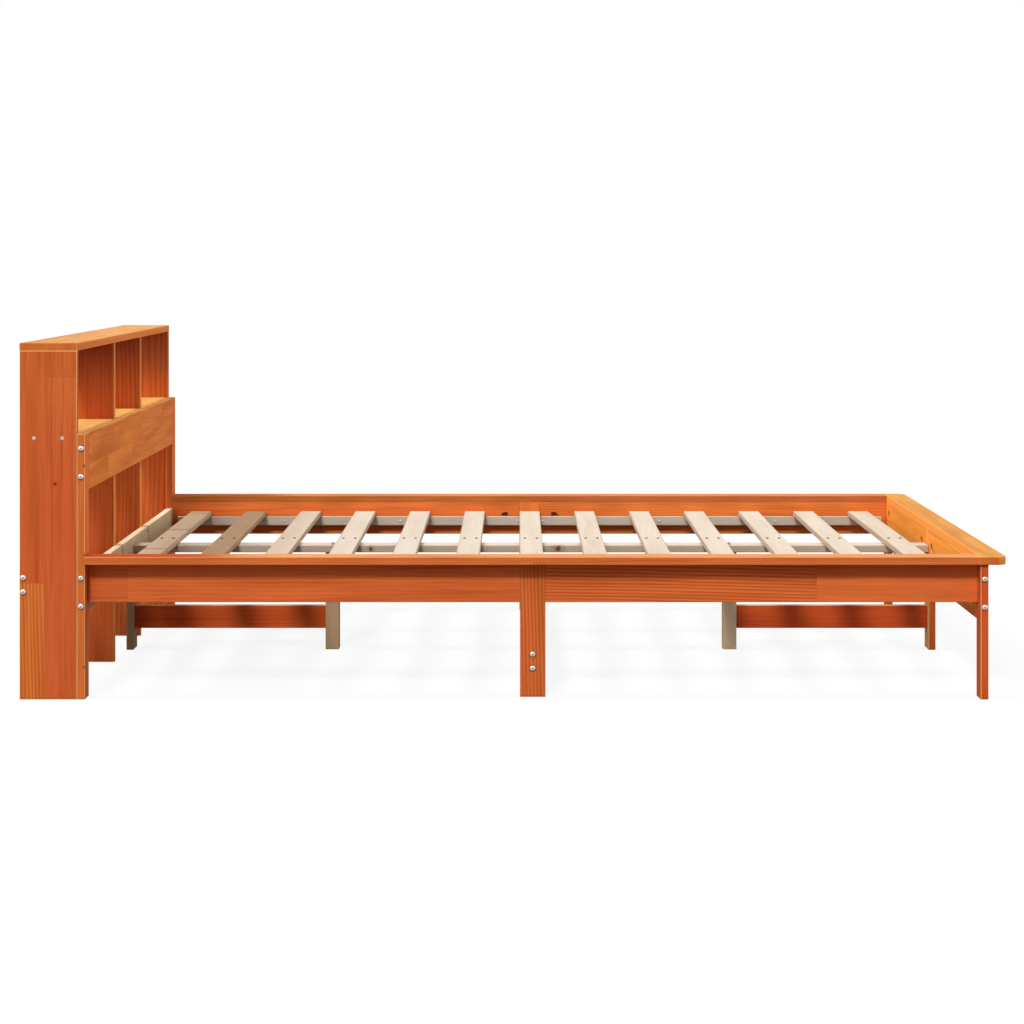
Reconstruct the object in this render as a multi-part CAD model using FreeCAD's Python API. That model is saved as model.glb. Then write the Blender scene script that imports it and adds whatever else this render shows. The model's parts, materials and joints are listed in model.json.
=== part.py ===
import FreeCAD, Part
import math
import os

from FreeCAD import Vector

# Pine bed frame with a bookcase at its head, for a mattress of 1200 by 2000 mm.
# Millimetres. X runs from head to foot, Y from the left side to the right side, Z up from the floor.
# Left and right are as seen from the foot. The origin is under the middle of the overall box.

# Mattress and the room round it
MATTRESS_LENGTH = 2000.0
MATTRESS_WIDTH = 1200.0
END_ROOM = 25.0
SIDE_ROOM = 20.0

# Boards
BOARD = 18.0
EDGE_RADIUS = 2.0
STRIP_WIDTH = 58.0
LEG_DEPTH = 48.0

# Bookcase
BOOKCASE_DEPTH = 130.0
BOOKCASE_HEIGHT = 806.0
MIDDLE_BAY = 358.0
SHELF_TOP = 600.0
REAR_RAIL_TOP = 288.0

# Head and foot frames
WIDE_RAIL_HEIGHT = 130.0
LOWER_HEAD_RAIL_HEIGHT = 92.0
LOWER_HEAD_RAIL_TOP = 288.0
WIDE_BOLT_SPACING = 64.0
STRIP_BOLT_SPACING = 32.0

# Side rails and the ledge boards on top of them
SIDE_RAIL_HEIGHT = 90.0
CAP_BOTTOM = 305.0
CAP_THICKNESS = 18.0
CAP_WIDTH = 56.0
FOOT_CAP_WIDTH = 59.0
CAP_CORNER_RADIUS = 24.0
CAP_EDGE_RADIUS = 1.5

# Slats and what carries them
SLAT_COUNT = 13
SLAT_WIDTH = 57.0
SLAT_THICKNESS = 14.0
SLAT_MARGIN = 82.5
SLAT_END_GAP = 6.0
SLAT_SEAT = 266.0
BATTEN_HEIGHT = 25.0
BATTEN_THICKNESS = 20.0
BATTEN_END_GAP = 17.0
BEAM_END_GAP = 0.5
CENTER_LEG_WIDTH = 34.0
CENTER_LEG_DEPTH = 42.0
CENTER_LEG_REACH = 507.0
LOW_RAIL_BOTTOM = 52.0

# Bolts with a domed head and a hexagon socket
BOLT_DIAMETER = 6.0
BOLT_HOLE = 7.0
BOLT_HEAD_DIAMETER = 13.0
BOLT_HEAD_RIM = 1.2
BOLT_HEAD_HEIGHT = 3.5
BOLT_FLAT_DIAMETER = 7.5
BOLT_DOME_BULGE = 0.35
BOLT_TAIL = 3.0
SOCKET_WIDTH = 4.0
SOCKET_DEPTH = 2.0

# Round pockets with half-moon nuts
POCKET_DIAMETER = 28.0
POCKET_OFFSET = 39.0
NUT_HEIGHT = 7.0
NUT_THICKNESS = 9.0
NUT_CLEARANCE = 0.2
ROD_HEIGHT = 263.0

# Barrel nuts
BARREL_DIAMETER = 10.0
BARREL_LENGTH = 13.0
BARREL_OFFSET = 35.0
BARREL_CLEARANCE = 0.2
CORNER_BOLT_HEIGHT = 253.0

# Dowels and screws
DOWEL_DIAMETER = 8.0
DOWEL_LENGTH = 30.0
DOWEL_SHALLOW_END = 12.0
SHELF_DOWEL_DIAMETER = 10.0
SHELF_DOWEL_LENGTH = 40.0
DOWEL_CLEARANCE = 0.1
HOLE_SPARE_DEPTH = 0.5
SHELF_DOWEL_SPACING = 64.0
CAP_DOWEL_MARGIN = 150.0
LEG_DOWEL_SPACING = 30.0
CORNER_DOWEL_HEIGHT = 288.0
MIDDLE_DOWEL_HEIGHT = 235.0
POST_DOWEL_HEIGHTS = (120.0, 420.0)
SCREW_DIAMETER = 4.0
SCREW_LENGTH = 30.0
SCREW_HEAD_DIAMETER = 7.0
SCREW_HEAD_RIM = 1.2
SCREW_HEAD_HEIGHT = 2.4
SCREW_FLAT_DIAMETER = 4.5
SCREW_CLEARANCE = 0.1
RECESS_LENGTH = 3.6
RECESS_WIDTH = 1.0
RECESS_DEPTH = 1.4
SLAT_SCREW_SPACING = 30.0
BATTEN_SCREW_MARGIN = 35.0
BATTEN_SCREW_PITCH = 330.5
HEAD_RAIL_SCREW_SPACING = 68.0
BEAM_SCREW_SPACING = 24.0

# Places along X, counted from the rear face of the bookcase and then shifted to the middle
inner_length = MATTRESS_LENGTH + END_ROOM
total_length = BOOKCASE_DEPTH + BOARD + inner_length + FOOT_CAP_WIDTH
rear_x = -total_length / 2
post_rear_x = rear_x + BOOKCASE_DEPTH
head_x = post_rear_x + BOARD
foot_x = head_x + inner_length
foot_outer_x = foot_x + BOARD
bed_center_x = (head_x + foot_x) / 2
slat_pitch = (inner_length - 2 * SLAT_MARGIN) / (SLAT_COUNT - 1)
batten_length = inner_length / 2 - BATTEN_END_GAP

# Places across Y, as distances from the middle
inner_half = (MATTRESS_WIDTH + SIDE_ROOM) / 2
rail_outer = inner_half + BOARD
leg_outer = inner_half + LEG_DEPTH
panel_inner = leg_outer - BOARD
cap_outer = inner_half + CAP_WIDTH
divider_center = (MIDDLE_BAY + BOARD) / 2
half_board = BOARD / 2
half_strip = STRIP_WIDTH / 2

# Heights
panel_top = BOOKCASE_HEIGHT - BOARD
cap_top = CAP_BOTTOM + CAP_THICKNESS
upper_rail_bottom = SHELF_TOP - WIDE_RAIL_HEIGHT
lower_rail_bottom = LOWER_HEAD_RAIL_TOP - LOWER_HEAD_RAIL_HEIGHT
foot_rail_bottom = CAP_BOTTOM - WIDE_RAIL_HEIGHT
side_rail_bottom = CAP_BOTTOM - SIDE_RAIL_HEIGHT
beam_bottom = SLAT_SEAT - BOARD
low_rail_center = LOW_RAIL_BOTTOM + half_strip

X_AXIS = Vector(1, 0, 0)
Y_AXIS = Vector(0, 1, 0)
Z_AXIS = Vector(0, 0, 1)
PARALLEL_ANGLE = 0.001
SIDES = (("left", -1), ("right", 1))

boards = {}
cuts = {}
fasteners = {
    "long_bolts": [],
    "short_bolts": [],
    "joint_rods": [],
    "half_moon_nuts": [],
    "barrel_nuts": [],
    "dowels": [],
    "deck_screws": [],
}


# Boards

def block(x, y, z):
    """Plain block between two places on each axis."""
    low = Vector(min(x), min(y), min(z))
    high = Vector(max(x), max(y), max(z))
    size = high - low
    return Part.makeBox(size.x, size.y, size.z, low)


def edges_along(shape, direction):
    """Straight edges of a block that run along a direction."""
    found = []
    for edge in shape.Edges:
        run = edge.Vertexes[-1].Point - edge.Vertexes[0].Point
        if run.isParallel(direction, PARALLEL_ANGLE):
            found.append(edge)
    return found


def add_board(name, x, y, z, edge_radius=EDGE_RADIUS):
    """Board with its long edges eased, kept under its name."""
    shape = block(x, y, z)
    box = shape.BoundBox
    lengths = ((box.XLength, X_AXIS), (box.YLength, Y_AXIS), (box.ZLength, Z_AXIS))
    grain = max(lengths, key=lambda item: item[0])[1]
    boards[name] = shape.makeFillet(edge_radius, edges_along(shape, grain))
    cuts[name] = []


def drill(name, start, along, diameter, depth):
    """Round hole into a board."""
    cuts[name].append(Part.makeCylinder(diameter / 2, depth, start, along))


# Fasteners

def bolt(seat, along, length):
    """Bolt whose domed head bears on its seat and whose shank runs along a direction."""
    rim = BOLT_HEAD_DIAMETER / 2
    flat = BOLT_FLAT_DIAMETER / 2
    shank = BOLT_DIAMETER / 2
    points = [
        Vector(0, 0, -length),
        Vector(shank, 0, -length),
        Vector(shank, 0, 0),
        Vector(rim, 0, 0),
        Vector(rim, 0, BOLT_HEAD_RIM),
        Vector(flat, 0, BOLT_HEAD_HEIGHT),
        Vector(0, 0, BOLT_HEAD_HEIGHT),
    ]
    dome_middle = (points[4] + points[5]) / 2 + Vector(BOLT_DOME_BULGE, 0, BOLT_DOME_BULGE)
    edges = [Part.makeLine(points[i], points[i + 1]) for i in range(4)]
    edges.append(Part.Arc(points[4], dome_middle, points[5]).toShape())
    edges.append(Part.makeLine(points[5], points[6]))
    edges.append(Part.makeLine(points[6], points[0]))
    shape = Part.Face(Part.Wire(edges)).revolve(Vector(0, 0, 0), Z_AXIS, 360)
    socket_radius = SOCKET_WIDTH / math.sqrt(3)
    corners = [
        Vector(socket_radius * math.cos(i * math.pi / 3), socket_radius * math.sin(i * math.pi / 3), 0)
        for i in range(7)
    ]
    socket = Part.Face(Part.makePolygon(corners)).extrude(Z_AXIS * SOCKET_DEPTH)
    socket.translate(Z_AXIS * (BOLT_HEAD_HEIGHT - SOCKET_DEPTH))
    return placed(shape.cut(socket), seat, -along)


def screw(seat, along):
    """Pan-head screw with a cross recess, whose head bears on its seat."""
    shank = SCREW_DIAMETER / 2
    rim = SCREW_HEAD_DIAMETER / 2
    flat = SCREW_FLAT_DIAMETER / 2
    points = [
        Vector(0, 0, -SCREW_LENGTH),
        Vector(shank, 0, -SCREW_LENGTH),
        Vector(shank, 0, 0),
        Vector(rim, 0, 0),
        Vector(rim, 0, SCREW_HEAD_RIM),
        Vector(flat, 0, SCREW_HEAD_HEIGHT),
        Vector(0, 0, SCREW_HEAD_HEIGHT),
        Vector(0, 0, -SCREW_LENGTH),
    ]
    shape = Part.Face(Part.makePolygon(points)).revolve(Vector(0, 0, 0), Z_AXIS, 360)
    reach = (-RECESS_LENGTH / 2, RECESS_LENGTH / 2)
    side = (-RECESS_WIDTH / 2, RECESS_WIDTH / 2)
    depth = (SCREW_HEAD_HEIGHT - RECESS_DEPTH, SCREW_HEAD_HEIGHT)
    return placed(shape.cut([block(reach, side, depth), block(side, reach, depth)]), seat, -along)


def placed(shape, seat, up):
    """Move a shape made about the Z axis to its seat, with its head pointing up the given way."""
    shape.Placement = FreeCAD.Placement(seat, FreeCAD.Rotation(Z_AXIS, up))
    return shape


def half_moon_nut(center, along, open_side):
    """Segment of a disc that seats on the wall of a pocket, with a hole for the bolt."""
    radius = POCKET_DIAMETER / 2 - NUT_CLEARANCE
    flat = radius - NUT_HEIGHT
    half_chord = math.sqrt(radius ** 2 - flat ** 2)
    back = center - open_side * (NUT_THICKNESS / 2)
    across = open_side.cross(along)
    first = back - along * flat + across * half_chord
    last = back - along * flat - across * half_chord
    arc = Part.Arc(first, back - along * radius, last).toShape()
    face = Part.Face(Part.Wire([arc, Part.makeLine(last, first)]))
    nut = face.extrude(open_side * NUT_THICKNESS)
    hole = Part.makeCylinder(BOLT_HOLE / 2, 2 * radius, center - along * (2 * radius), along)
    return nut.cut(hole)


# Joints

def cut_pocket(rail, center, open_side):
    """Round pocket in a rail, open on one face, deep enough for a half-moon nut on the bolt's line."""
    depth = half_board + NUT_THICKNESS / 2 + NUT_CLEARANCE
    drill(rail, center + open_side * half_board, -open_side, POCKET_DIAMETER, depth)


def pocket_bolt(leg, rail, seat, along, open_side):
    """Bolt through the depth of a leg into the end of a rail, drawn up on a half-moon nut."""
    rail_end = seat + along * LEG_DEPTH
    wall = POCKET_OFFSET - POCKET_DIAMETER / 2
    center = rail_end + along * POCKET_OFFSET
    fasteners["long_bolts"].append(bolt(seat, along, LEG_DEPTH + wall + NUT_HEIGHT + BOLT_TAIL))
    fasteners["half_moon_nuts"].append(half_moon_nut(center, along, open_side))
    drill(leg, seat, along, BOLT_HOLE, LEG_DEPTH)
    drill(rail, rail_end, along, BOLT_HOLE, POCKET_OFFSET)
    cut_pocket(rail, center, open_side)


def rod_joint(leg, first_rail, second_rail, middle, along, open_side):
    """Rod through the width of a leg that draws two rails against its edges with half-moon nuts."""
    wall = POCKET_OFFSET - POCKET_DIAMETER / 2
    half_length = half_strip + wall + NUT_HEIGHT + BOLT_TAIL
    start = middle - along * half_length
    fasteners["joint_rods"].append(Part.makeCylinder(BOLT_DIAMETER / 2, 2 * half_length, start, along))
    drill(leg, middle - along * half_strip, along, BOLT_HOLE, STRIP_WIDTH)
    for rail, way in ((first_rail, -along), (second_rail, along)):
        rail_end = middle + way * half_strip
        center = rail_end + way * POCKET_OFFSET
        fasteners["half_moon_nuts"].append(half_moon_nut(center, way, open_side))
        drill(rail, rail_end, way, BOLT_HOLE, POCKET_OFFSET)
        cut_pocket(rail, center, open_side)


def barrel_bolt(outer, rail, seat, along, open_side):
    """Bolt through the thickness of a board into the end of a rail, held by a barrel nut."""
    rail_end = seat + along * BOARD
    center = rail_end + along * BARREL_OFFSET
    reach = BARREL_OFFSET + BARREL_DIAMETER / 2 + BOLT_TAIL
    fasteners["short_bolts"].append(bolt(seat, along, BOARD + reach))
    drill(outer, seat, along, BOLT_HOLE, BOARD)
    drill(rail, rail_end, along, BOLT_HOLE, reach + HOLE_SPARE_DEPTH)
    back = center - open_side * (BARREL_LENGTH / 2)
    barrel = Part.makeCylinder(BARREL_DIAMETER / 2, BARREL_LENGTH, back, open_side)
    tapped = Part.makeCylinder(BOLT_HOLE / 2, 2 * BARREL_DIAMETER, center - along * BARREL_DIAMETER, along)
    fasteners["barrel_nuts"].append(barrel.cut(tapped))
    depth = half_board + BARREL_LENGTH / 2 + BARREL_CLEARANCE
    mouth = center + open_side * half_board
    drill(rail, mouth, -open_side, BARREL_DIAMETER + 2 * BARREL_CLEARANCE, depth)


def dowel(shallow, deep, seam, along, shallow_end=DOWEL_SHALLOW_END, length=DOWEL_LENGTH):
    """Dowel across the seam between two boards, running along a direction into the deep one."""
    hole = DOWEL_DIAMETER + 2 * DOWEL_CLEARANCE
    deep_end = length - shallow_end
    fasteners["dowels"].append(
        Part.makeCylinder(DOWEL_DIAMETER / 2, length, seam - along * shallow_end, along))
    drill(shallow, seam, -along, hole, shallow_end + HOLE_SPARE_DEPTH)
    drill(deep, seam, along, hole, deep_end + HOLE_SPARE_DEPTH)


def wood_screw(outer, inner, seat, along):
    """Pan-head screw through one board into the next."""
    fasteners["deck_screws"].append(screw(seat, along))
    shank = SCREW_DIAMETER / 2 + SCREW_CLEARANCE
    stem = Part.makeCylinder(shank, SCREW_LENGTH + HOLE_SPARE_DEPTH, seat, along)
    cuts[outer].append(stem)
    cuts[inner].append(stem)


# Bookcase

def make_bookcase():
    depth = (rear_x, post_rear_x)
    rear_rail_x = (rear_x, rear_x + BOARD)
    rear_rail_bottom = REAR_RAIL_TOP - STRIP_WIDTH
    add_board("top_board", depth, (-leg_outer, leg_outer), (panel_top, BOOKCASE_HEIGHT))
    add_board("rear_rail", rear_rail_x, (-panel_inner, panel_inner), (rear_rail_bottom, REAR_RAIL_TOP))
    for side, sign in SIDES:
        add_board("side_panel_" + side, depth, (sign * panel_inner, sign * leg_outer), (0, panel_top))
        divider = "divider_" + side
        y = (sign * divider_center - half_board, sign * divider_center + half_board)
        add_board(divider, depth, y, (0, panel_top))
        cuts[divider].append(block(rear_rail_x, y, (rear_rail_bottom, REAR_RAIL_TOP)))
    shelf_z = (SHELF_TOP - BOARD, SHELF_TOP)
    inside_divider = divider_center - half_board
    outside_divider = divider_center + half_board
    add_board("shelf_left", depth, (-panel_inner, -outside_divider), shelf_z)
    add_board("shelf_middle", depth, (-inside_divider, inside_divider), shelf_z)
    add_board("shelf_right", depth, (outside_divider, panel_inner), shelf_z)


def join_bookcase():
    middle_x = rear_x + BOOKCASE_DEPTH / 2
    shelf_dowel_xs = (middle_x - SHELF_DOWEL_SPACING / 2, middle_x + SHELF_DOWEL_SPACING / 2)
    shelf_z = SHELF_TOP - half_board
    rear_rail_z = REAR_RAIL_TOP - half_strip
    through = (SHELF_DOWEL_LENGTH - BOARD) / 2
    hole = SHELF_DOWEL_DIAMETER + 2 * DOWEL_CLEARANCE
    for side, sign in SIDES:
        inward = Y_AXIS * -sign
        panel = "side_panel_" + side
        divider = "divider_" + side
        shelf = "shelf_" + side
        for z in (rear_rail_z - STRIP_BOLT_SPACING / 2, rear_rail_z + STRIP_BOLT_SPACING / 2):
            barrel_bolt(panel, "rear_rail", Vector(rear_x + half_board, sign * leg_outer, z), inward, X_AXIS)
        for x in shelf_dowel_xs:
            dowel("top_board", panel, Vector(x, sign * (leg_outer - half_board), panel_top), -Z_AXIS)
            # The outer shelf's dowels run right through the side panel, so their ends show there
            outer_face = Vector(x, sign * leg_outer, shelf_z)
            panel_seam = Vector(x, sign * panel_inner, shelf_z)
            drill(panel, outer_face, inward, hole, BOARD)
            drill(shelf, panel_seam, inward, hole, SHELF_DOWEL_LENGTH - BOARD + HOLE_SPARE_DEPTH)
            fasteners["dowels"].append(
                Part.makeCylinder(SHELF_DOWEL_DIAMETER / 2, SHELF_DOWEL_LENGTH, outer_face, inward))
            # One dowel runs through the divider into the shelves on both sides of it
            seam = Vector(x, sign * (divider_center + half_board), shelf_z)
            start = seam - inward * through
            drill(shelf, seam, -inward, hole, through + HOLE_SPARE_DEPTH)
            drill(divider, seam, inward, hole, BOARD)
            drill("shelf_middle", seam + inward * BOARD, inward, hole, through + HOLE_SPARE_DEPTH)
            fasteners["dowels"].append(
                Part.makeCylinder(SHELF_DOWEL_DIAMETER / 2, SHELF_DOWEL_LENGTH, start, inward))
        dowel("top_board", divider, Vector(middle_x, sign * divider_center, panel_top), -Z_AXIS)


# Head frame

def make_head_frame():
    plane = (post_rear_x, head_x)
    across = (-inner_half, inner_half)
    for side, sign in SIDES:
        add_board("head_post_" + side, plane, (sign * inner_half, sign * leg_outer), (0, SHELF_TOP))
    add_board("head_rail_upper", plane, across, (upper_rail_bottom, SHELF_TOP))
    add_board("head_rail_lower", plane, across, (lower_rail_bottom, LOWER_HEAD_RAIL_TOP))
    add_board("head_center_leg", plane, (-half_strip, half_strip), (0, lower_rail_bottom))


def join_head_frame():
    middle_x = post_rear_x + half_board
    rails = (
        ("head_rail_upper", (upper_rail_bottom + SHELF_TOP) / 2),
        ("head_rail_lower", (lower_rail_bottom + LOWER_HEAD_RAIL_TOP) / 2),
    )
    for side, sign in SIDES:
        post = "head_post_" + side
        divider = "divider_" + side
        for rail, center_z in rails:
            for z in (center_z - WIDE_BOLT_SPACING / 2, center_z + WIDE_BOLT_SPACING / 2):
                seat = Vector(middle_x, sign * leg_outer, z)
                pocket_bolt(post, rail, seat, Y_AXIS * -sign, -X_AXIS)
        panel_y = sign * (leg_outer - half_board)
        for z in POST_DOWEL_HEIGHTS:
            dowel(post, "side_panel_" + side, Vector(post_rear_x, panel_y, z), -X_AXIS)
        dowel("head_rail_upper", divider, Vector(post_rear_x, sign * divider_center, rails[0][1]), -X_AXIS)
        lower_z = rails[1][1]
        for z in (lower_z - HEAD_RAIL_SCREW_SPACING / 2, lower_z + HEAD_RAIL_SCREW_SPACING / 2):
            wood_screw("head_rail_lower", divider, Vector(head_x, sign * divider_center, z), -X_AXIS)
        y = sign * LEG_DOWEL_SPACING / 2
        dowel("head_rail_lower", "head_center_leg", Vector(middle_x, y, lower_rail_bottom), -Z_AXIS)


# Foot frame

def make_foot_frame():
    plane = (foot_x, foot_outer_x)
    height = (foot_rail_bottom, CAP_BOTTOM)
    for side, sign in SIDES:
        add_board("foot_leg_" + side, plane, (sign * inner_half, sign * leg_outer), (0, CAP_BOTTOM))
        add_board("foot_rail_" + side, plane, (sign * half_strip, sign * inner_half), height)
    add_board("foot_center_leg", plane, (-half_strip, half_strip), (0, CAP_BOTTOM))
    cap = block((foot_x, foot_x + FOOT_CAP_WIDTH), (-cap_outer, cap_outer), (CAP_BOTTOM, cap_top))
    corners = [edge for edge in edges_along(cap, Z_AXIS) if edge.Vertexes[0].X > foot_outer_x]
    cap = cap.makeFillet(CAP_CORNER_RADIUS, corners)
    rims = []
    for edge in cap.Edges:
        box = edge.BoundBox
        if box.ZLength < CAP_EDGE_RADIUS and box.XMax > foot_outer_x:
            rims.append(edge)
    boards["foot_cap"] = cap.makeFillet(CAP_EDGE_RADIUS, rims)
    cuts["foot_cap"] = []


def join_foot_frame():
    middle_x = foot_x + half_board
    center_z = (foot_rail_bottom + CAP_BOTTOM) / 2
    for side, sign in SIDES:
        leg = "foot_leg_" + side
        rail = "foot_rail_" + side
        for z in (center_z - WIDE_BOLT_SPACING / 2, center_z + WIDE_BOLT_SPACING / 2):
            pocket_bolt(leg, rail, Vector(middle_x, sign * leg_outer, z), Y_AXIS * -sign, -X_AXIS)
        rail_middle = sign * (half_strip + inner_half) / 2
        leg_middle = sign * (inner_half + leg_outer) / 2
        dowel("foot_cap", rail, Vector(middle_x, rail_middle, CAP_BOTTOM), -Z_AXIS)
        dowel("foot_cap", leg, Vector(middle_x, leg_middle, CAP_BOTTOM), -Z_AXIS)
        seam = Vector(middle_x, sign * half_strip, MIDDLE_DOWEL_HEIGHT)
        dowel("foot_center_leg", rail, seam, Y_AXIS * sign)
    middle = Vector(middle_x, 0, ROD_HEIGHT)
    rod_joint("foot_center_leg", "foot_rail_left", "foot_rail_right", middle, Y_AXIS, -X_AXIS)


# Side frames

def make_side_frames():
    rail_z = (side_rail_bottom, CAP_BOTTOM)
    cap_z = (CAP_BOTTOM, cap_top)
    batten_z = (SLAT_SEAT - BATTEN_HEIGHT, SLAT_SEAT)
    for side, sign in SIDES:
        plane = (sign * inner_half, sign * rail_outer)
        ledge = (sign * inner_half, sign * cap_outer)
        batten = (sign * (inner_half - BATTEN_THICKNESS), sign * inner_half)
        leg_x = (bed_center_x - half_strip, bed_center_x + half_strip)
        add_board("middle_leg_" + side, leg_x, plane, (0, CAP_BOTTOM))
        add_board("side_rail_%s_head" % side, (head_x, leg_x[0]), plane, rail_z)
        add_board("side_rail_%s_foot" % side, (leg_x[1], foot_x), plane, rail_z)
        add_board("side_cap_%s_head" % side, (head_x, bed_center_x), ledge, cap_z, CAP_EDGE_RADIUS)
        add_board("side_cap_%s_foot" % side, (bed_center_x, foot_x), ledge, cap_z, CAP_EDGE_RADIUS)
        add_board("batten_%s_head" % side, (bed_center_x - batten_length, bed_center_x), batten, batten_z)
        add_board("batten_%s_foot" % side, (bed_center_x, bed_center_x + batten_length), batten, batten_z)


def join_side_frames():
    batten_screw_count = 1 + int((batten_length - 2 * BATTEN_SCREW_MARGIN) // BATTEN_SCREW_PITCH)
    for side, sign in SIDES:
        inward = Y_AXIS * -sign
        rail_y = sign * (inner_half + half_board)
        batten_face = sign * (inner_half - BATTEN_THICKNESS)
        middle_leg = "middle_leg_" + side
        rails = ("side_rail_%s_head" % side, "side_rail_%s_foot" % side)
        middle = Vector(bed_center_x, rail_y, ROD_HEIGHT)
        rod_joint(middle_leg, rails[0], rails[1], middle, X_AXIS, inward)
        ends = (
            ("head", -1, "head_post_" + side, post_rear_x, head_x),
            ("foot", 1, "foot_leg_" + side, foot_outer_x, foot_x),
        )
        for end, way, leg, seat_x, seam_x in ends:
            rail = "side_rail_%s_%s" % (side, end)
            cap = "side_cap_%s_%s" % (side, end)
            batten = "batten_%s_%s" % (side, end)
            outward = X_AXIS * way
            barrel_bolt(leg, rail, Vector(seat_x, rail_y, CORNER_BOLT_HEIGHT), -outward, inward)
            dowel(leg, rail, Vector(seam_x, rail_y, CORNER_DOWEL_HEIGHT), -outward)
            leg_seam = Vector(bed_center_x + way * half_strip, rail_y, MIDDLE_DOWEL_HEIGHT)
            dowel(middle_leg, rail, leg_seam, outward)
            for x in (seam_x - way * CAP_DOWEL_MARGIN, bed_center_x + way * CAP_DOWEL_MARGIN):
                dowel(cap, rail, Vector(x, rail_y, CAP_BOTTOM), -Z_AXIS)
            for index in range(batten_screw_count):
                x = bed_center_x + way * (BATTEN_SCREW_MARGIN + index * BATTEN_SCREW_PITCH)
                seat = Vector(x, batten_face, SLAT_SEAT - BATTEN_HEIGHT / 2)
                wood_screw(batten, rail, seat, -inward)


# Centre support

def make_center_support():
    strip_y = (-half_board, half_board)
    low_z = (LOW_RAIL_BOTTOM, LOW_RAIL_BOTTOM + STRIP_WIDTH)
    beam_x = (head_x + BEAM_END_GAP, foot_x - BEAM_END_GAP)
    leg_y = (-CENTER_LEG_DEPTH / 2, CENTER_LEG_DEPTH / 2)
    add_board("center_beam", beam_x, (-half_strip, half_strip), (beam_bottom, SLAT_SEAT))
    cross_x = (bed_center_x - half_board, bed_center_x + half_board)
    add_board("cross_rail", cross_x, (-inner_half, inner_half), low_z)
    for end, way, wall_x in (("head", -1, head_x), ("foot", 1, foot_x)):
        center = bed_center_x + way * CENTER_LEG_REACH
        near = center - way * CENTER_LEG_WIDTH / 2
        far = center + way * CENTER_LEG_WIDTH / 2
        add_board("center_leg_" + end, (near, far), leg_y, (0, beam_bottom))
        add_board("stretcher_" + end, (far, wall_x), strip_y, low_z)


def join_center_support():
    spread = STRIP_BOLT_SPACING / 2
    low_zs = (low_rail_center - spread, low_rail_center + spread)
    beam_z = SLAT_SEAT - half_board
    for side, sign in SIDES:
        for z in low_zs:
            seat = Vector(bed_center_x, sign * rail_outer, z)
            barrel_bolt("middle_leg_" + side, "cross_rail", seat, Y_AXIS * -sign, X_AXIS)
    ends = (
        ("head", -1, "head_rail_lower", "head_center_leg", post_rear_x, head_x),
        ("foot", 1, "foot_center_leg", "foot_center_leg", foot_outer_x, foot_x),
    )
    for end, way, wall, wall_leg, seat_x, seam_x in ends:
        outward = X_AXIS * way
        leg = "center_leg_" + end
        stretcher = "stretcher_" + end
        center = bed_center_x + way * CENTER_LEG_REACH
        barrel_bolt(wall, "center_beam", Vector(seat_x, 0, beam_z), -outward, -Z_AXIS)
        for z in low_zs:
            dowel(wall_leg, stretcher, Vector(seam_x, 0, z), -outward)
            dowel(leg, stretcher, Vector(center + way * CENTER_LEG_WIDTH / 2, 0, z), outward)
        for y in (-BEAM_SCREW_SPACING / 2, BEAM_SCREW_SPACING / 2):
            wood_screw("center_beam", leg, Vector(center, y, SLAT_SEAT), -Z_AXIS)


# Slats

def make_slats():
    top = SLAT_SEAT + SLAT_THICKNESS
    half_length = inner_half - SLAT_END_GAP
    for index in range(SLAT_COUNT):
        name = "slat_%02d" % (index + 1)
        x = head_x + SLAT_MARGIN + index * slat_pitch
        width = (x - SLAT_WIDTH / 2, x + SLAT_WIDTH / 2)
        add_board(name, width, (-half_length, half_length), (SLAT_SEAT, top))
        for offset in (-SLAT_SCREW_SPACING / 2, SLAT_SCREW_SPACING / 2):
            wood_screw(name, "center_beam", Vector(x + offset, 0, top), -Z_AXIS)


def write_parts():
    os.makedirs("parts", exist_ok=True)
    for name, shape in boards.items():
        if cuts[name]:
            shape = shape.cut(cuts[name])
        solid = shape.Solids[0]
        solid.exportStep("parts/%s.step" % name)
    for name, solids in fasteners.items():
        Part.makeCompound(solids).exportStep("parts/%s.step" % name)


make_bookcase()
make_head_frame()
make_foot_frame()
make_side_frames()
make_center_support()
make_slats()
join_bookcase()
join_head_frame()
join_foot_frame()
join_side_frames()
join_center_support()
write_parts()
print("%d nodes, %.0f mm long" % (len(boards) + len(fasteners), total_length))
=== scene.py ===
import json
import math
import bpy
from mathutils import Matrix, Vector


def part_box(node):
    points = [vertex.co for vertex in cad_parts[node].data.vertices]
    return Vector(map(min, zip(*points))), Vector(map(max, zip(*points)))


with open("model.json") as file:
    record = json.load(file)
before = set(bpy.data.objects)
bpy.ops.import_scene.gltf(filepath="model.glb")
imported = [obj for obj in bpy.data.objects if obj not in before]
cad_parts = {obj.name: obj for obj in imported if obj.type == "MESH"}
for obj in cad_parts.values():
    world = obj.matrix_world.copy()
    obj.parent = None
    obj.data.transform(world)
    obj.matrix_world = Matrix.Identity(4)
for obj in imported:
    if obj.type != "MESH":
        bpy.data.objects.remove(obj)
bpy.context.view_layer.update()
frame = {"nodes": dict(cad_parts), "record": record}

import zlib

import bpy
from mathutils import Vector

# Stained and plain pine bed frame with a bookcase at its head. Metres, in the frame of the solids. The solids
# keep their shapes and places. This script gives them materials, and adds a floor, lights and a camera.

# Camera: level, at the height of the photograph's horizon
IMAGE_SIDE = 1024
CAMERA_PLACE = (0.0088, -5.624, 0.999)
CAMERA_LENS = 77.25
CAMERA_SENSOR = 36.0
VANISHING_POINT = (517.0, 257.5)

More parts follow.
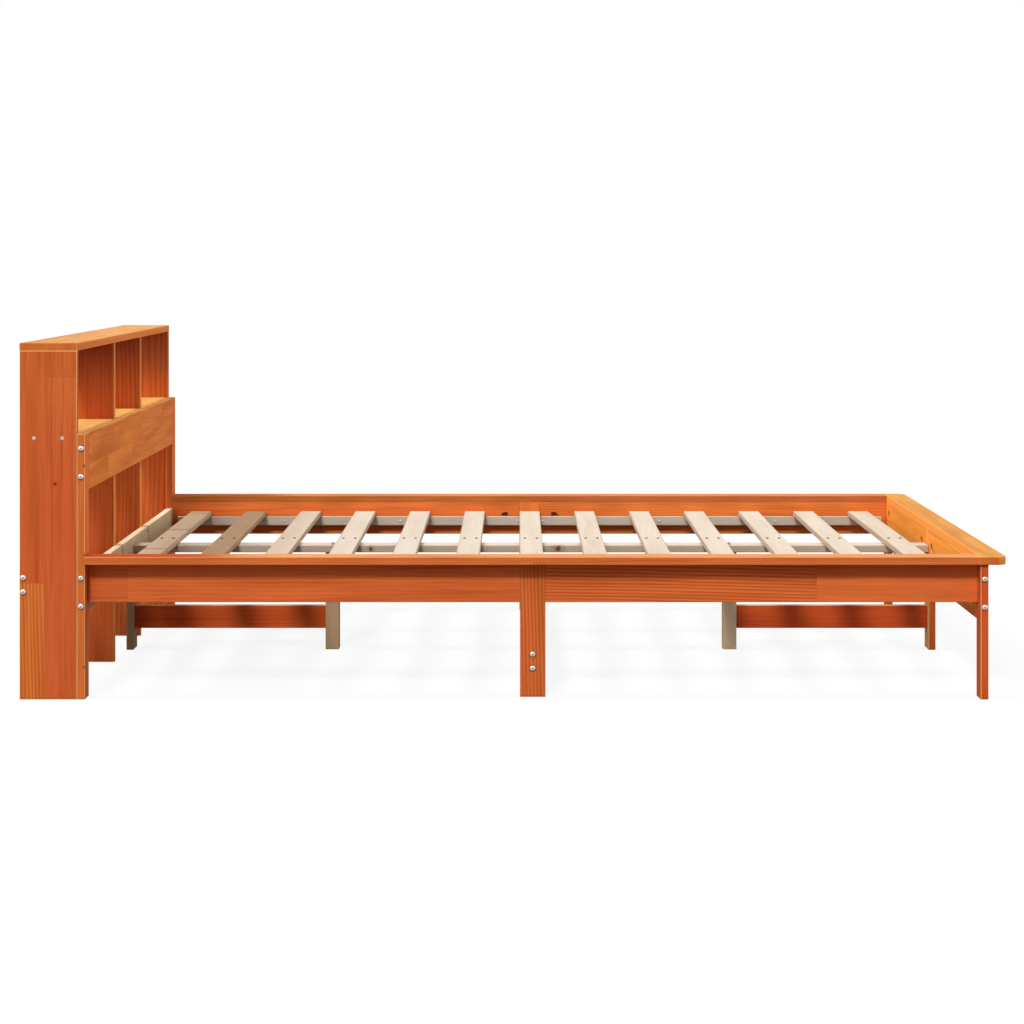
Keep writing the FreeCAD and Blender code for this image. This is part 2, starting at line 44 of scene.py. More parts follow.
# Lights: bearing they come from (0 is the front, 90 the left), elevation and size in degrees, strength.
# The key light is split over three bearings, which softens its shadows sideways.
LIGHTS = {
    "key": (13.4, 43.0, 8.0, 1.92),
    "front_left": (45.0, 25.0, 60.0, 0.85),
    "left_high": (90.0, 56.0, 12.0, 1.80),
    "left_low": (90.0, 20.0, 60.0, 1.05),
    "right_high": (-90.0, 55.0, 60.0, 0.80),
    "right_low": (-90.0, 20.0, 60.0, 1.34),
}
KEY_TURNS = (-5.5, 0.0, 5.5)
SKY_STRENGTH = 0.04

# Floor: its grey, and the light it gives to the eye alone, so that it looks white and keeps the shadow
FLOOR_HALF = 40.0
FLOOR_GREY = 0.12
FLOOR_LIFT = 0.87

# Strips that a board is glued up from, and the finger joints between the pieces of a strip
FINGER_PITCH = 0.005
FINGER_SLOPE = 2.0
JOINT_STAGGER = 0.618
STRIP_SEAM = 0.4
ONE_STRIP_LIMIT = 1.5
ONE_STRIP_WIDTH = 1.0
ONE_STRIP_SHIFT = 0.5
PIECE_SPREAD = 9.0
NO_PIECE = (-99, -99, 0.0, 0.0)
SEED_COUNT = 977

# Growth rings about a heart that lies off the piece. Noise scales are along and across the grain.
HEART_ACROSS = 0.20
HEART_DEPTH = 0.010
HEART_DEPTH_SPREAD = 0.05
WANDER = 0.055
WANDER_SCALE = (1.1, 6.0)
WANDER_DETAIL = 2.0
WOBBLE = 0.0035
WOBBLE_SCALE = (7.0, 60.0)
WOBBLE_DETAIL = 1.0
RING_GAPS = (0.75, 1.25)
LATE_RISE = (0.25, 0.80)
LATE_FALL = (0.84, 1.0)
LINED_SLOPE = 0.02
LINED_WANDER = 0.40

# Figure of the wood: noise scale along and across the grain, detail, and the marks between none and all of it
FIGURES = {
    "Fibre": (11.0, 420.0, 2.0, 0.30, 0.70),
    "Streak": (4.0, 130.0, 1.0, 0.58, 0.74),
    "Band": (2.2, 48.0, 1.0, 0.35, 0.70),
    "Blotch": (2.6, 14.0, 2.0, 0.40, 0.70),
}
# Order in which the figure darkens a board: figure, its tint and its share in the board's look
FIGURE_TINTS = (
    ("Streak", "late_tint", "streak"),
    ("Band", "dark_tint", "band"),
    ("Blotch", "dark_tint", "blotch"),
    ("Fibre", "late_tint", "fibre"),
    ("Tone", "dark_tint", "shade"),
    ("Seam", "dark_tint", "seam"),
)

# Depths from a board's faces at which the marks start and are full: edge wear with painted highlight,
# the painted light and shade of narrow sides, and the dark ends
EDGE_DEPTHS = (0.0019, 0.0006)
NARROW_DEPTHS = (0.0035, 0.0008)
END_DEPTHS = (0.0008, 0.0002)

# Knots, with reaches counted in a knot's radius
KNOT_CORE = (0.25, 0.14, 0.08, 1.0)
KNOT_CORE_REACH = (0.45, 1.0)
KNOT_CORE_SHARE = 0.9
KNOT_HALO = (0.74, 0.52, 0.32, 1.0)
KNOT_HALO_REACH = (0.6, 3.0)
KNOT_HALO_SHARE = 0.7
KNOT_BEND_REACH = (0.6, 4.0)
KNOT_BEND = -0.55
KNOT_GRAIN = 1.1
KNOT_RAGGED = 1.6

# Boards
HUE_BY_PIECE = 0.6
HUE_BY_BAND = 0.4
# Upward faces are painted paler, as if lit from above; TOP_SHADE is the bookcase's painted shadow on tops
# near the head and BAY_SHADE the painted shade at the top of a bay
UPWARD = (0.4, 0.9)
TOP_SHADE = 0.55
BAY_SHADE = (0.62, 0.68, 0.98, 1.0)
LATE_TONES = (0.1, 0.9)
LATE_LOST_AT_END = 0.8
LATE_GLOSS = 0.12
LATE_HEIGHT = 0.5
FIBRE_HEIGHT = 0.5
BUMP_HEIGHT = 0.0003
BUMP_STRENGTH = 0.25
# Painted shade in creases and corners, under overhangs and round bolts, as far as other surfaces close a
# point off
CREASE_SHADE = (0.30, 0.20, 0.15, 1.0)
CREASE_SHADE_SAMPLES = 8

# Small pieces
MOTTLE = (0.80, 0.80, 0.80, 1.0)
MOTTLE_SCALE = 900.0
MOTTLE_DETAIL = 3.0
MOTTLE_MARKS = (0.35, 0.65)
MOTTLE_ROUGH = (-0.06, 0.08)
BOLT_ROUGH = 0.34
# A bolt's undersides and socket are painted in shade
BOLT_UNDERSIDE = (-0.75, 0.0)
SOCKET_SHADE_REACH = 0.008
SCREW_ROUGH = 0.40
BATTEN_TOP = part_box("batten_left_head")[1].z
SCREW_CHANGE = 0.001
DOWEL_ROUGH = 0.70
DOWEL_RIM = (0.50, 0.38, 0.30, 1.0)
DOWEL_RIM_REACH = (0.0028, 0.0050)
SHELF_DOWEL_REACH = 0.032


def srgb(red, green, blue):
    """Linear colour of a colour written as 0 to 255."""
    def linear(value):
        share = value / 255
        return share / 12.92 if share <= 0.04045 else ((share + 0.055) / 1.055) ** 2.4
    return (linear(red), linear(green), linear(blue), 1.0)


def blend(first, second, share):
    """Linear colour part of the way from one colour to another."""
    return tuple(a + (b - a) * share for a, b in zip(first, second))


# HONEY, a golden tone, also stands in as painted light on boards and faces in strong light
HONEY = srgb(255, 164, 68)
BROWN_STAIN = srgb(178, 104, 42)
BROWN_PINE = srgb(156, 120, 84)
BOLT_ZINC = srgb(202, 197, 190)
# Painted shade of a bolt's undersides
BOLT_SHADE = srgb(96, 84, 76)
SCREW_ZINC = srgb(200, 196, 190)
SCREW_DULL = srgb(96, 88, 80)
BEECH = srgb(232, 210, 184)

# Looks of boards. Tints darken the wood, and shares say how much of each shows.
# - first, second: colours between which the board varies; honey and brown: shares of those colours over them
# - top, top_share: colour of upward faces, painted paler as if lit from above
# - edge, edge_share, end_edge: colour of worn edges, long and at ends, partly wear and partly painted
#   highlight
# - narrow, narrow_colour: share and colour of the narrow sides, painted light where light falls and painted
#   shade where they lie in shade; end_share: how dark the ends are
# - late_low, late_high: strength of the rings' dark late wood; gap: width of a ring
# - strip, strip_shift, segment, joint: width and shift of strips, length of their pieces, place of a joint
# - shade, seam, seam_width: how much pieces differ in tone, and how their seams show
# - lined: strip and piece with strong straight grain, its strength and its share of honey
# - knots: place along, across and through the board, radius
# - honey_rise, bay_rise: heights between which honey and a bay's painted shade set in; honey that rises with
#   height paints light on a board's upper part
# - top_rise: places along the bed between which a top comes out of the bookcase's painted shadow
# - grime, crease_shade_reach: share and reach of painted shade in creases and corners
COMMON = dict(
    honey=0.0, honey_rise=None, brown=0.0, top_rise=None, narrow_colour=None, bay_rise=None, shade=0.0,
    seam_width=0.0010, segment=2.5, joint=-0.90, crease_shade_reach=0.006, lined=None, knots=())
STAINED = dict(
    COMMON, first=srgb(226, 106, 57), second=srgb(236, 128, 58), brown_colour=BROWN_STAIN,
    top=srgb(216, 164, 104), top_share=0.75, edge=srgb(250, 178, 98), edge_share=0.60, end_edge=0.25,
    narrow=0.0, end_share=0.15, late_tint=(0.58, 0.36, 0.28, 1.0), dark_tint=(0.60, 0.40, 0.34, 1.0),
    late_low=0.03, late_high=0.18, streak=0.25, band=0.30, blotch=0.25, fibre=0.22, seam=0.25, gap=0.0085,
    strip=0.065, strip_shift=0.10, crease_shade=0.8, rough=0.70, specular=0.07)
PLAIN = dict(
    COMMON, first=srgb(206, 192, 174), second=srgb(212, 201, 186), brown_colour=BROWN_PINE,
    top=srgb(204, 192, 178), top_share=0.5, edge=srgb(176, 140, 104), edge_share=0.15, end_edge=0.3,
    narrow=0.45, end_share=0.35, late_tint=(0.84, 0.75, 0.64, 1.0), dark_tint=(0.62, 0.50, 0.38, 1.0),
    late_low=0.02, late_high=0.22, streak=0.10, band=0.15, blotch=0.15, fibre=0.18, seam=0.75, gap=0.0070,
    strip=0.110, strip_shift=0.50, crease_shade=0.6, rough=0.78, specular=0.10)

# Looks that several boards share
GLUED = dict(segment=0.46, joint=-0.13, shade=0.08)
# Pale outlines along a board's edges: wear and painted highlight
OUTLINED = dict(edge=srgb(255, 206, 138), edge_share=0.85, end_edge=1.0)
SHELF = dict(GLUED, honey=0.80, top=srgb(252, 194, 110), top_share=1.0, crease_shade=0.1)
DIVIDER = dict(
    first=srgb(236, 116, 60), second=srgb(244, 132, 62), late_low=0.20, late_high=0.50, streak=0.35,
    narrow=0.45, crease_shade_reach=0.20, crease_shade=0.60, bay_rise=(0.62, 0.79))
# Foot rails: painted light, golden above, and red below where they lie in shade
FOOT_RAIL = dict(GLUED, honey=1.0, honey_rise=(0.185, 0.215), edge_share=0.2)
NEAR_RAIL = dict(
    first=srgb(240, 117, 61), second=srgb(244, 128, 62), seam=0.1, edge_share=0.35, end_edge=0.1,
    end_share=0.0)
NEAR_CAP = dict(narrow=0.10, edge_share=0.30, streak=0.50, band=0.45)
FAR_CAP = dict(first=srgb(198, 107, 58), second=srgb(208, 128, 58), top_share=0.25, edge_share=0.10)
FAR_RAIL = dict(honey=0.30, edge_share=0.15)
# Places along the bed where tops come out of the bookcase's painted shadow
HEAD_SHADE = (-0.74, -0.60)
STRETCHER = dict(first=srgb(218, 90, 44), second=srgb(226, 104, 48), top=srgb(250, 214, 160), top_share=0.9)
CENTER_LEG = dict(first=srgb(238, 212, 176), second=srgb(242, 218, 184))

# Boards whose tone, joints or knots the photograph shows
BOARD_LOOKS = {
    "top_board": dict(
        GLUED, honey=0.25, top=srgb(203, 164, 106), narrow=0.15, end_edge=1.0, end_share=0.05),
    "shelf_left": SHELF,
    "shelf_middle": SHELF,
    "shelf_right": SHELF,
    "divider_left": DIVIDER,
    "divider_right": DIVIDER,
    "side_panel_left": dict(
        OUTLINED, first=srgb(222, 102, 56), second=srgb(228, 116, 54), honey=0.15, honey_rise=(0.45, 0.75),
        strip=0.072, strip_shift=1.096, joint=-0.129, segment=1.22, gap=0.0085, shade=0.03, streak=0.35,
        band=0.35, lined=(0, -1, 0.55, 0.40), knots=((0.093, 0.0157, -0.009, 0.0035),)),
    "side_panel_right": dict(
        DIVIDER, first=srgb(246, 123, 63), second=srgb(252, 139, 66), narrow=0.0, crease_shade=0.15,
        bay_rise=(0.58, 0.74)),
    "head_post_left": dict(
        OUTLINED, honey=0.15,
        knots=((0.228, -0.024, 0.009, 0.003), (0.027, -0.024, 0.009, 0.003), (-0.227, -0.024, 0.009, 0.003))),
    "head_rail_upper": dict(
        honey=0.60, brown=0.12, segment=0.33, shade=0.12, blotch=0.45, band=0.35, fibre=0.30,
        edge_share=0.15, top=srgb(255, 196, 110), top_share=1.0, crease_shade=0.1),
    "head_rail_lower": dict(
        first=srgb(206, 178, 142), second=srgb(214, 188, 154), top=srgb(255, 236, 200), top_share=1.0,
        narrow=0.0, blotch=0.45, band=0.30, joint=-0.180, segment=0.385, shade=0.35, seam=1.0,
        seam_width=0.012),
    "head_center_leg": dict(brown=0.85),
    # The foot cap's inner side is painted golden as lit from the head end
    "foot_cap": dict(
        honey=0.60, top=srgb(190, 147, 77), narrow_colour=srgb(241, 152, 67), narrow=0.90, edge_share=0.10,
        end_share=0.60, late_high=0.10, streak=0.10),
    "foot_rail_left": FOOT_RAIL,
    "foot_rail_right": FOOT_RAIL,
    "foot_leg_left": dict(OUTLINED, first=srgb(218, 92, 44), second=srgb(224, 106, 48), end_edge=0.25),
    # The foot centre leg is painted light on its face toward the head and paler low down, and its narrow
    # sides in painted shade
    "foot_center_leg": dict(
        OUTLINED, first=srgb(255, 205, 116), second=srgb(255, 210, 124), honey=1.0, honey_rise=(0.15, 0.22),
        narrow_colour=srgb(206, 88, 42), narrow=0.95, end_edge=0.1),
    "side_cap_left_head": dict(NEAR_CAP, top_rise=HEAD_SHADE),
    "side_cap_left_foot": NEAR_CAP,
    "side_cap_right_head": dict(FAR_CAP, top_rise=HEAD_SHADE),
    "side_cap_right_foot": FAR_CAP,
    "side_rail_left_head": dict(NEAR_RAIL, joint=-0.398, segment=1.0, late_low=0.1, late_high=0.2),
    "side_rail_left_foot": dict(
        NEAR_RAIL, joint=0.127, segment=0.63, lined=(0, -1, 0.65, 0.10), gap=0.0080),
    "side_rail_right_head": dict(
        FAR_RAIL, first=srgb(242, 114, 62), second=srgb(248, 132, 64), honey=0.20),
    "side_rail_right_foot": FAR_RAIL,
    "middle_leg_left": dict(lined=(0, 0, 0.55, 0.15), gap=0.0085, edge_share=0.35),
    "middle_leg_right": FAR_RAIL,
    "stretcher_head": STRETCHER,
    "stretcher_foot": STRETCHER,
    "center_beam": dict(knots=((0.069, -0.029, 0.0, 0.009), (-0.4075, -0.029, 0.0, 0.005))),
    "center_leg_head": dict(CENTER_LEG, brown=0.45),
    "center_leg_foot": dict(CENTER_LEG, narrow=0.0),
    "slat_01": dict(
        first=srgb(217, 192, 162), second=srgb(223, 198, 168), top=srgb(217, 192, 162), joint=-0.196,
        segment=0.379, shade=0.2, seam=1.0, seam_width=0.014),
    "slat_02": dict(first=srgb(177, 149, 118), second=srgb(181, 154, 124), top=srgb(177, 149, 118)),
    "slat_03": dict(first=srgb(200, 180, 160), top=srgb(198, 182, 164)),
}


class Tree:
    """Short calls that build a node tree."""

    def __init__(self, tree):
        self.tree = tree

    def node(self, kind, **settings):
        made = self.tree.nodes.new(kind)
        for name, value in settings.items():
            setattr(made, name, value)
        return made

    def feed(self, socket, value):
        if isinstance(value, bpy.types.NodeSocket):
            self.tree.links.new(value, socket)
        else:
            socket.default_value = value

    def math(self, operation, *values):
        made = self.node("ShaderNodeMath", operation=operation)
        for socket, value in zip(made.inputs, values):
            self.feed(socket, value)
        return made.outputs[0]

    def share(self, value, most):
        return self.math("MULTIPLY", value, most)

    def vector(self, operation, *values):
        made = self.node("ShaderNodeVectorMath", operation=operation)
        for socket, value in zip(made.inputs, values):
            self.feed(socket, value)
        return made.outputs["Value" if operation == "LENGTH" else "Vector"]

    def split(self, vector):
        made = self.node("ShaderNodeSeparateXYZ")
        self.feed(made.inputs[0], vector)
        return made.outputs[0], made.outputs[1], made.outputs[2]

    def join(self, x, y, z):
        made = self.node("ShaderNodeCombineXYZ")
        for socket, value in zip(made.inputs, (x, y, z)):
            self.feed(socket, value)
        return made.outputs[0]

    def ease(self, value, low, high, from_value=0.0, to_value=1.0):
        """Smooth step of a value between two marks."""
        made = self.node("ShaderNodeMapRange", interpolation_type="SMOOTHSTEP")
        for name, part in zip(("Value", "From Min", "From Max", "To Min", "To Max"),
                              (value, low, high, from_value, to_value)):
            self.feed(made.inputs[name], part)
        return made.outputs["Result"]

    def between(self, share, first, second):
        """Value part of the way from one value to another."""
        made = self.node("ShaderNodeMix", data_type="FLOAT")
        for name, value in zip(("Factor", "A", "B"), (share, first, second)):
            self.feed(made.inputs[name], value)
        return made.outputs[0]

    def upward(self):
        """How far a surface faces up: 1 is straight up and -1 straight down."""
        return self.split(self.node("ShaderNodeNewGeometry").outputs["Normal"])[2]

    def hidden(self, distance):
        """How much of the surroundings is closed off by other surfaces within a distance."""
        made = self.node("ShaderNodeAmbientOcclusion", samples=CREASE_SHADE_SAMPLES)
        made.inputs["Distance"].default_value = distance
        return self.math("SUBTRACT", 1.0, made.outputs["AO"])

    def noise(self, vector, detail=2.0):
        made = self.node("ShaderNodeTexNoise")
        self.feed(made.inputs["Vector"], vector)
        made.inputs["Scale"].default_value = 1.0
        made.inputs["Detail"].default_value = detail
        return made.outputs[0]

    def random(self, x, y, z):
        """Three random values for each whole-number place."""
        made = self.node("ShaderNodeTexWhiteNoise", noise_dimensions="3D")
        self.feed(made.inputs["Vector"], self.join(x, y, z))
        return self.split(made.outputs["Color"])

    def mix(self, share, first, second, kind="MIX"):
        made = self.node("ShaderNodeMix", data_type="RGBA", blend_type=kind)
        self.feed(made.inputs["Factor"], share)
        self.feed(made.inputs[6], first)
        self.feed(made.inputs[7], second)
        return made.outputs[2]

    def tint(self, colour, tint, share):
        """Darken a colour by a share of a tint."""
        return self.mix(share, colour, tint, "MULTIPLY")


def new_group(name, inputs, outputs):
    """Node group, its tree helper, its inputs and its outputs by name."""
    group = bpy.data.node_groups.new(name, "ShaderNodeTree")
    for label in inputs:
        kind = "NodeSocketVector" if label in ("Local", "Half") else "NodeSocketFloat"
        group.interface.new_socket(label, in_out="INPUT", socket_type=kind)
    for label in outputs:
        group.interface.new_socket(label, in_out="OUTPUT", socket_type="NodeSocketFloat")
    t = Tree(group)
    return group, t, t.node("NodeGroupInput").outputs, t.node("NodeGroupOutput").inputs


def make_grain_group():
    """Grain of a board of finger-jointed strips. Local X runs along the grain, Y across it and Z through."""
    inputs = ["Local", "Strip", "Strip Shift", "Segment", "Joint", "Gap", "Seed", "Seam Width",
              "Lined Strip", "Lined Piece"]
    outputs = ["Late", "Fibre", "Streak", "Band", "Blotch", "Tone", "Hue", "Seam", "Lined"]
    group, t, given, result = new_group("pine_grain", inputs, outputs)
    along, across, through = t.split(given["Local"])

    # Strip and finger-jointed piece that a point lies in
    strip_place = t.math("ADD", t.math("DIVIDE", across, given["Strip"]), given["Strip Shift"])
    strip = t.math("FLOOR", strip_place)
    fingers = t.share(t.math("PINGPONG", through, FINGER_PITCH / 2), FINGER_SLOPE)
    from_joint = t.math("SUBTRACT", t.math("ADD", along, fingers), given["Joint"])
    stagger = t.math("FRACT", t.share(strip, JOINT_STAGGER))
    piece_place = t.math("ADD", t.math("DIVIDE", from_joint, given["Segment"]), stagger)
    piece = t.math("FLOOR", piece_place)
    first, second, third = t.random(strip, piece, given["Seed"])
    t.feed(result["Tone"], second)
    t.feed(result["Hue"], third)
    in_lined_strip = t.math("COMPARE", strip, given["Lined Strip"], 0.5)
    in_lined_piece = t.math("COMPARE", piece, given["Lined Piece"], 0.5)
    lined = t.math("MULTIPLY", in_lined_strip, in_lined_piece)
    t.feed(result["Lined"], lined)

    def seam(place, size):
        middle = t.math("ABSOLUTE", t.math("SUBTRACT", t.math("FRACT", place), 0.5))
        distance = t.math("MULTIPLY", t.math("SUBTRACT", 0.5, middle), size)
        return t.ease(distance, 0.0, given["Seam Width"], 1.0, 0.0)

    side_seam = t.share(seam(strip_place, given["Strip"]), STRIP_SEAM)
    t.feed(result["Seam"], t.math("MAXIMUM", seam(piece_place, given["Segment"]), side_seam))

    piece_shift = t.vector("MULTIPLY", t.join(first, second, third), (PIECE_SPREAD,) * 3)

    def stretched(along_scale, across_scale):
        scaled = t.vector("MULTIPLY", given["Local"], (along_scale, across_scale, across_scale))
        return t.vector("ADD", scaled, piece_shift)

    def uneven(scale, detail, most):
        return t.share(t.math("SUBTRACT", t.noise(stretched(*scale), detail), 0.5), most)

    # Late wood of curved rings, or of straight ones in a lined piece
    heart_across = t.share(t.math("SUBTRACT", first, 0.5), HEART_ACROSS)
    heart_through = t.math("ADD", t.share(second, HEART_DEPTH_SPREAD), HEART_DEPTH)
    in_strip = t.math("MULTIPLY", t.math("SUBTRACT", t.math("FRACT", strip_place), 0.5), given["Strip"])
    off_across = t.math("SUBTRACT", in_strip, heart_across)
    off_through = t.math("ADD", through, heart_through)
    from_heart = t.vector("LENGTH", t.join(off_across, off_through, 0.0))
    wander = uneven(WANDER_SCALE, WANDER_DETAIL, WANDER)
    wobble = uneven(WOBBLE_SCALE, WOBBLE_DETAIL, WOBBLE)
    curved = t.math("ADD", t.math("ADD", from_heart, wander), wobble)
    sloped = t.math("ADD", across, t.share(along, LINED_SLOPE))
    straight = t.math("ADD", sloped, t.math("ADD", t.share(wander, LINED_WANDER), wobble))
    radius = t.between(lined, curved, straight)
    varied_gap = t.math("MULTIPLY", given["Gap"], t.ease(third, 0.0, 1.0, *RING_GAPS))
    gap = t.between(lined, varied_gap, given["Gap"])
    phase = t.math("FRACT", t.math("DIVIDE", radius, gap))
    late = t.math("MULTIPLY", t.ease(phase, *LATE_RISE), t.ease(phase, *LATE_FALL, 1.0, 0.0))
    t.feed(result["Late"], late)

    for name, (along_scale, across_scale, detail, low, high) in FIGURES.items():
        t.feed(result[name], t.ease(t.noise(stretched(along_scale, across_scale), detail), low, high))
    return group


def make_edge_group():
    """Masks of a board's edges, narrow sides and ends, from the distance to the faces of its box: for edge
    wear with painted highlight, for painted light and shade of narrow sides, and for dark ends.
    """
    outputs = ["Edge", "End Edge", "Narrow", "End"]
    group, t, given, result = new_group("board_edge", ["Local", "Half"], outputs)
    from_middle = t.vector("ABSOLUTE", given["Local"])
    along, across, through = t.split(t.vector("SUBTRACT", from_middle, given["Half"]))

    def toward_face(place, depths):
        start, full = depths
        return t.ease(place, -start, -full)

    at_end = t.math("MINIMUM", along, t.math("MAXIMUM", across, through))
    t.feed(result["Edge"], toward_face(t.math("MINIMUM", across, through), EDGE_DEPTHS))
    t.feed(result["End Edge"], toward_face(at_end, EDGE_DEPTHS))
    t.feed(result["Narrow"], toward_face(across, NARROW_DEPTHS))
    t.feed(result["End"], toward_face(along, END_DEPTHS))
    return group


GRAIN = make_grain_group()
EDGE = make_edge_group()


def new_material(name):
    """Material, its tree helper, its shader's inputs and the place of a point on the part."""
    material = bpy.data.materials.new(name)
    material.use_nodes = True
    t = Tree(material.node_tree)
    shader = material.node_tree.nodes["Principled BSDF"].inputs
    return material, t, shader, t.node("ShaderNodeTexCoord").outputs["Object"]


def around_knot(t, local, knot):
    """Local coordinates bent round a knot, and its dark core and its halo (1 in the middle)."""
    place, radius = knot[:3], knot[3]
    away = t.vector("SUBTRACT", local, place)
    far = t.math("DIVIDE", t.vector("LENGTH", away), radius)
    push = t.ease(far, *KNOT_BEND_REACH, KNOT_BEND, 0.0)
    bent = t.vector("ADD", local, t.vector("MULTIPLY", away, t.join(0.0, push, push)))
    scale = KNOT_GRAIN / radius
    ragged = t.math("SUBTRACT", t.noise(t.vector("MULTIPLY", local, (scale, scale, scale))), 0.5)
    far = t.math("ADD", far, t.share(ragged, KNOT_RAGGED))
    return bent, t.ease(far, *KNOT_CORE_REACH, 1.0, 0.0), t.ease(far, *KNOT_HALO_REACH, 1.0, 0.0)


def board_grain(t, local, half, look, seed):
    """Outputs of the grain of one board."""
    grain = t.node("ShaderNodeGroup", node_tree=GRAIN)
    one_strip = 2 * half[1] < ONE_STRIP_LIMIT * look["strip"]
    lined_strip, lined_piece = (look["lined"] or NO_PIECE)[:2]
    values = {
        "Local": local,
        "Strip": ONE_STRIP_WIDTH if one_strip else look["strip"],
        "Strip Shift": ONE_STRIP_SHIFT if one_strip else look["strip_shift"],
        "Segment": look["segment"],
        "Joint": look["joint"],
        "Gap": look["gap"],
        "Seed": seed,
        "Seam Width": look["seam_width"],
        "Lined Strip": lined_strip,
        "Lined Piece": lined_piece,
    }
    for name, value in values.items():
        t.feed(grain.inputs[name], value)
    return grain.outputs


def base_colour(t, place, seen, look):
    """Colour of a board before its grain: its stain, its honey, and its top painted paler as if lit, darker
    in the bookcase's painted shadow near the head.
    """
    def browned(colour):
        return blend(colour, look["brown_colour"], look["brown"])

    hue = t.math("ADD", t.share(seen["Hue"], HUE_BY_PIECE), t.share(seen["Band"], HUE_BY_BAND))
    colour = t.mix(hue, browned(look["first"]), browned(look["second"]))
    honey = look["honey"]
    # Honey that sets in with height paints light on a board's upper part
    if look["honey_rise"]:
        honey = t.ease(t.split(place)[2], *look["honey_rise"], 0.0, honey)
    lined_honey = (look["lined"] or NO_PIECE)[3]
    honey = t.math("MAXIMUM", honey, t.share(seen["Lined"], lined_honey))
    colour = t.mix(honey, colour, browned(HONEY))

    # Upward faces painted paler, as if lit from above
    on_top = t.ease(t.upward(), *UPWARD)
    lit_top = t.share(on_top, look["top_share"])
    # Near the head, tops are painted in the bookcase's shadow
    if look["top_rise"]:
        along_bed = t.ease(t.split(place)[0], *look["top_rise"])
        lit_top = t.math("MULTIPLY", lit_top, along_bed)
        shade = t.math("SUBTRACT", TOP_SHADE, t.share(along_bed, TOP_SHADE))
        colour = t.tint(colour, look["dark_tint"], t.math("MULTIPLY", on_top, shade))
    return t.mix(lit_top, colour, browned(look["top"]))


def wood_material(node, look):
    """Pine for one board, with its grain along the board's longest side."""
    low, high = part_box(node)
    size = high - low
    axes = sorted(range(3), key=lambda axis: -size[axis])
    half = tuple(size[axis] / 2 for axis in axes)
    seed = zlib.crc32(node.encode()) % SEED_COUNT + 1.0

    material, t, shader, place = new_material("wood_" + node)
    parts = t.split(t.vector("SUBTRACT", place, tuple((low + high) / 2)))
    local = t.join(parts[axes[0]], parts[axes[1]], parts[axes[2]])
    edge_group = t.node("ShaderNodeGroup", node_tree=EDGE)
    t.feed(edge_group.inputs["Local"], local)
    t.feed(edge_group.inputs["Half"], half)
    edge = edge_group.outputs
    knots = []
    for knot in look["knots"]:
        local, core, halo = around_knot(t, local, knot)
        knots.append((core, halo))
    seen = board_grain(t, local, half, look, seed)

    # Grain
    colour = base_colour(t, place, seen, look)
    late_share = t.ease(seen["Tone"], *LATE_TONES, look["late_low"], look["late_high"])
    lined_late = (look["lined"] or NO_PIECE)[2]
    late = t.math("MULTIPLY", seen["Late"], t.between(seen["Lined"], late_share, lined_late))
    late = t.math("MULTIPLY", late, t.math("SUBTRACT", 1.0, t.share(edge["End"], LATE_LOST_AT_END)))
    colour = t.tint(colour, look["late_tint"], late)
    for figure, tint, amount in FIGURE_TINTS:
        colour = t.tint(colour, look[tint], t.share(seen[figure], look[amount]))

    # Worn edges with painted highlight, narrow sides in painted light and shade, painted shade in creases and
    # bays, and knots
    # Narrow sides painted light where light falls and painted shade where they lie in shade
    narrow_colour = look["narrow_colour"] or look["edge"]
    colour = t.mix(t.share(edge["Narrow"], look["narrow"]), colour, narrow_colour)
    # Worn edges, partly wear and partly painted highlight
    worn_and_lit = t.math("MAXIMUM", edge["Edge"], t.share(edge["End Edge"], look["end_edge"]))
    colour = t.mix(t.share(worn_and_lit, look["edge_share"]), colour, look["edge"])
    colour = t.tint(colour, look["dark_tint"], t.share(edge["End"], look["end_share"]))
    # Painted shade in creases and corners
    colour = t.tint(colour, CREASE_SHADE, t.share(t.hidden(look["crease_shade_reach"]), look["crease_shade"]))
    # Painted shade at the top of a bay
    if look["bay_rise"]:
        colour = t.tint(colour, BAY_SHADE, t.ease(t.split(place)[2], *look["bay_rise"]))
    for core, halo in knots:
        colour = t.tint(colour, KNOT_HALO, t.share(halo, KNOT_HALO_SHARE))
        colour = t.tint(colour, KNOT_CORE, t.share(core, KNOT_CORE_SHARE))
    t.feed(shader["Base Color"], colour)
    t.feed(shader["Roughness"], t.ease(late, 0.0, 1.0, look["rough"], look["rough"] - LATE_GLOSS))
    t.feed(shader["Specular IOR Level"], look["specular"])

    height = t.math("SUBTRACT", t.share(seen["Late"], LATE_HEIGHT), seen["Seam"])
    height = t.math("SUBTRACT", height, t.share(seen["Fibre"], FIBRE_HEIGHT))
    bump = t.node("ShaderNodeBump")
    t.feed(bump.inputs["Strength"], BUMP_STRENGTH)
    t.feed(bump.inputs["Distance"], BUMP_HEIGHT)
    t.feed(bump.inputs["Height"], height)
    t.feed(shader["Normal"], bump.outputs["Normal"])
    return material


def small_material(name, colour, rough, metallic):
    """Finely mottled surface of small pieces, as new_material gives it, and its mottled colour."""
    material, t, shader, place = new_material(name)
    t.feed(shader["Metallic"], metallic)
    fine = t.vector("MULTIPLY", place, (MOTTLE_SCALE,) * 3)
    mottle = t.ease(t.noise(fine, MOTTLE_DETAIL), *MOTTLE_MARKS)
    smoother, rougher = MOTTLE_ROUGH
    t.feed(shader["Roughness"], t.ease(mottle, 0.0, 1.0, rough + smoother, rough + rougher))
    return material, t, shader, place, t.tint(colour, MOTTLE, mottle)


